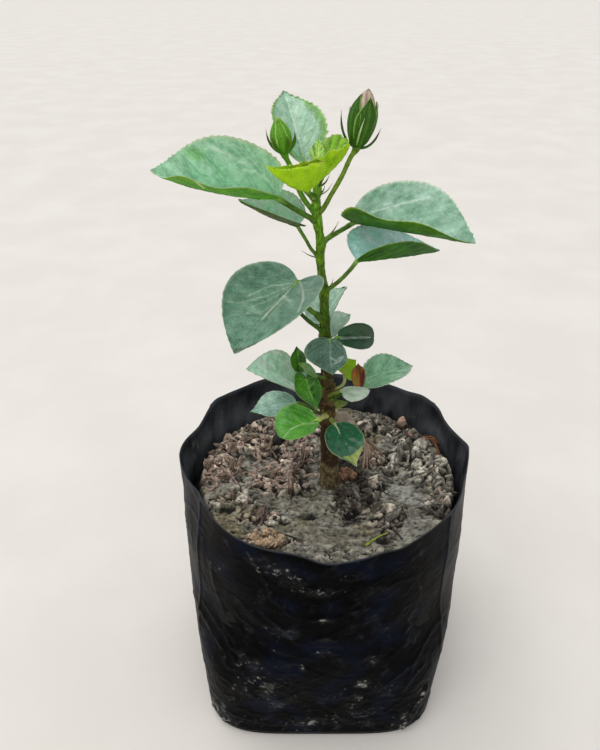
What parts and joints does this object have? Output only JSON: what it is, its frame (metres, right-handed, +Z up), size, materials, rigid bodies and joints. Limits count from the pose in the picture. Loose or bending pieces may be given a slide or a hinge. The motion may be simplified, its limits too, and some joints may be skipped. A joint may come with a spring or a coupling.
{
  "type": "young potted hibiscus in a nursery bag",
  "caption": "Young hibiscus plant with toothed glossy leaves and closed flower buds on one thin stem, standing in soil in a round black film nursery bag.",
  "frame": {"origin": "centre of the bag's flat underside, where it stands", "axes": "+Z up along the stem, +X to the right and -Y towards the viewer of the pictured side"},
  "size_m": [0.1636, 0.1622, 0.3455],
  "materials": {
    "bag_film": "near-black polythene film, half gloss with navy reflections, wrinkled, dusty and mud-splashed",
    "soil": "dry grey-brown clay soil with crumbs, worm casts and fibres, quite matte",
    "stem_bark": "grey-brown bark at the foot turning olive and then green at the tip, satin",
    "leaf": "glossy dark to bright green blades with paler veins and toothed pale margins",
    "bud": "satin green calyx with pale-edged sepals and thin dark bracts; cream petal tip"
  },
  "bodies": {
    "root": {"bud_1": "bud", "bud_2": "bud", "leaf_01": "leaf", "leaf_02": "leaf", "leaf_03": "leaf", "leaf_04": "leaf", "leaf_05": "leaf", "leaf_06": "leaf", "leaf_07": "leaf", "leaf_08": "leaf", "leaf_09": "leaf", "leaf_10": "leaf", "leaf_11": "leaf", "leaf_12": "leaf", "leaf_13": "leaf", "leaf_14": "leaf", "leaf_15": "leaf", "leaf_16": "leaf", "leaf_17": "leaf", "leaf_18": "leaf", "leaf_19": "leaf", "leaf_20": "leaf", "leaf_21": "leaf", "leaf_22": "leaf", "leaf_23": "leaf", "leaf_24": "leaf", "leaf_25": "leaf", "leaf_26": "leaf", "leaf_27": "leaf", "leaf_28": "leaf", "leaf_29": "leaf", "nursery_bag": "bag_film", "soil": "soil", "stem": "stem_bark"}
  },
  "joints": []
}
